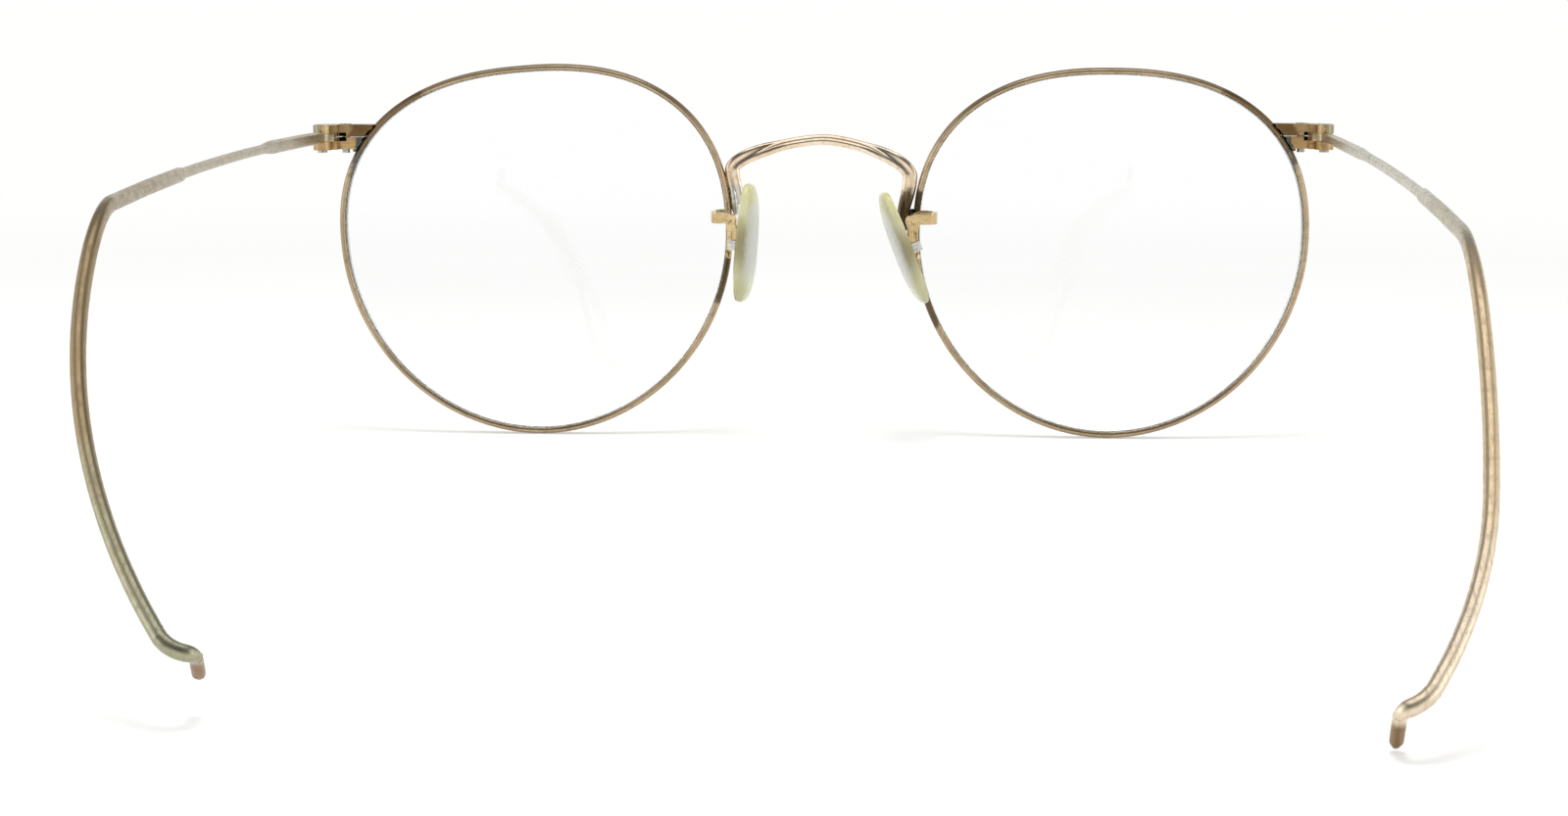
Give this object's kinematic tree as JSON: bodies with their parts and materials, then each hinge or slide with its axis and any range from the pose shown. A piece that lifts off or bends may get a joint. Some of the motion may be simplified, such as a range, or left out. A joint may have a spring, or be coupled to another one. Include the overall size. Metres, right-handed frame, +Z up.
{
  "type": "eyeglass frame",
  "caption": "Round wire-rim eyeglass frame with an arched bridge, rocking nose pads on bent arms and folding temples that end in curved ear pieces.",
  "frame": {"origin": "on the table, under the middle of the frame's box: the frame stands on both rims and the right temple's tip", "axes": "+X to the wearer's right, +Y forward out of the lenses, +Z up; the temples reach back along -Y"},
  "size_m": [0.1184, 0.1496, 0.0436],
  "materials": {
    "rim_metal": "worn satin gold-filled wire",
    "hinge_metal": "polished gold-filled with wear",
    "bridge_metal": "polished rose gold-filled",
    "arm_metal": "bright polished",
    "temple_metal": "worn matte",
    "screw_metal": "dull with verdigris",
    "plate_metal": "dull nickel",
    "pad_plastic": "translucent aged plastic",
    "lens_glass": "clear polished"
  },
  "bodies": {
    "front": {"left_eyewire": "rim_metal", "right_eyewire": "rim_metal", "left_lens": "lens_glass", "right_lens": "lens_glass", "bridge": "bridge_metal", "left_endpiece_upper": "hinge_metal", "right_endpiece_upper": "hinge_metal", "left_endpiece_lower": "hinge_metal", "right_endpiece_lower": "hinge_metal", "left_closing_screw": "screw_metal", "right_closing_screw": "screw_metal", "left_hinge_screw": "screw_metal", "right_hinge_screw": "screw_metal", "left_pad_arm": "arm_metal", "right_pad_arm": "arm_metal"},
    "left_temple": {"left_temple": "temple_metal"},
    "right_temple": {"right_temple": "temple_metal"},
    "left_nose_pad": {"left_pad": "pad_plastic", "left_pad_plate": "plate_metal", "left_pad_pin": "plate_metal"},
    "right_nose_pad": {"right_pad": "pad_plastic", "right_pad_plate": "plate_metal", "right_pad_pin": "plate_metal"}
  },
  "joints": [
    {"name": "left_temple_hinge", "type": "hinge", "parent": "front", "child": "left_temple", "pos_m": [-0.05814, 0.06828, 0.03491], "axis": [0, 0, 1], "range_deg": [0, 85]},
    {"name": "right_temple_hinge", "type": "hinge", "parent": "front", "child": "right_temple", "pos_m": [0.05814, 0.06828, 0.03562], "axis": [0, 0, -1], "range_deg": [0, 87]},
    {"name": "left_pad_rock", "type": "hinge", "parent": "front", "child": "left_nose_pad", "pos_m": [-0.00988, 0.06568, 0.023], "axis": [0.2079, 0.9781, 0], "range_deg": [-8, 8]},
    {"name": "right_pad_rock", "type": "hinge", "parent": "front", "child": "right_nose_pad", "pos_m": [0.01097, 0.06568, 0.02295], "axis": [-0.2079, 0.9781, 0], "range_deg": [-8, 8]}
  ]
}
